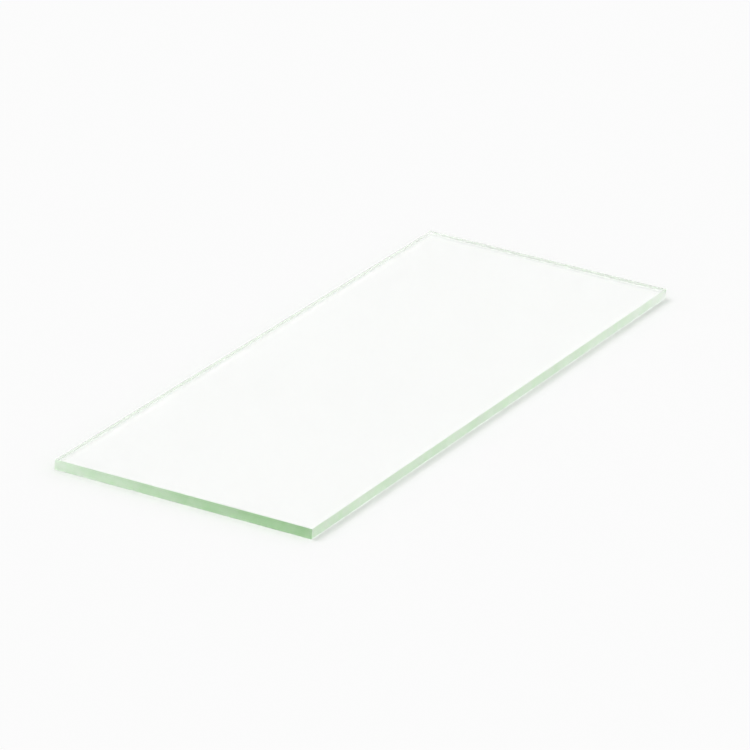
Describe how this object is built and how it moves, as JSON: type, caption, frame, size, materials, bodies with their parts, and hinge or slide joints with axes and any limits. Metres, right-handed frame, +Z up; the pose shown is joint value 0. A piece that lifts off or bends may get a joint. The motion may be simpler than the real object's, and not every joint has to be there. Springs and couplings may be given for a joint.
{
  "type": "microscope slide",
  "caption": "Plain clear glass microscope slide: a thin flat rectangle with square corners and cut edges that look pale green.",
  "frame": {"origin": "middle of the underside, the face that the slide lies on", "axes": "+X along the length, away from the end with the small chips; +Y across the width; +Z up through the thickness"},
  "size_m": [0.076, 0.026, 0.001],
  "materials": {
    "clear_glass": "clear soda-lime sheet glass with smooth faces that show no tint, and glossy cut edges that look pale green"
  },
  "bodies": {
    "root": {"glass_slide": "clear_glass"}
  },
  "joints": []
}
